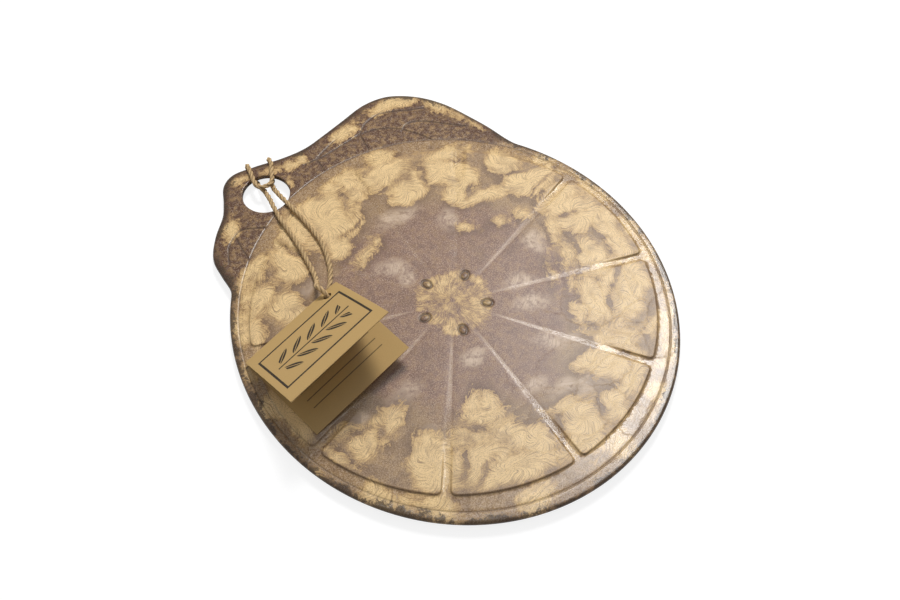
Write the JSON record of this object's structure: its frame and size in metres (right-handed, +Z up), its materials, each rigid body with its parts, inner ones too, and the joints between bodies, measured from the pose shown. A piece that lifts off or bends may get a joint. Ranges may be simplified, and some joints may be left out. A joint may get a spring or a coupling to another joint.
{
  "type": "round serving board",
  "caption": "Flat moulded serving board, an oval body with raised citrus-like segments and a wavy handle with a hang hole, carrying a folded card tag on a loop of twine.",
  "frame": {"origin": "middle of the ring of segments, on the flat underside", "axes": "+Y from the middle of the board to the handle, +Z up out of the serving face"},
  "size_m": [0.2704, 0.3182, 0.0529],
  "materials": {
    "board": "satin",
    "twine": "matte",
    "card": "matte"
  },
  "bodies": {
    "board": {"board": "board", "cord_hitch": "twine"},
    "cord_legs": {"cord_leg_left": "twine", "cord_leg_right": "twine", "cord_knot": "twine"},
    "tag_back": {"tag_back_leaf": "card"},
    "tag_front": {"tag_front_leaf": "card"}
  },
  "joints": [
    {"name": "cord_swing", "type": "hinge", "parent": "board", "child": "cord_legs", "pos_m": [-0.05163, 0.14114, 0.00658], "axis": [-1, 0, 0], "range_deg": [0, 100], "deforming": ["cord_leg_left", "cord_leg_right"]},
    {"name": "tag_tilt", "type": "hinge", "parent": "cord_legs", "child": "tag_back", "pos_m": [-0.0659, 0.04346, 0.01806], "axis": [-0.9725, -0.1855, -0.1409], "range_deg": [0, 30]},
    {"name": "tag_fold", "type": "hinge", "parent": "tag_back", "child": "tag_front", "pos_m": [-0.0659, 0.04346, 0.01806], "axis": [-0.9725, -0.1855, -0.1409], "range_deg": [-29, 45], "stiffness_Nm_per_rad": 0.03, "springref_deg": 0.92}
  ]
}
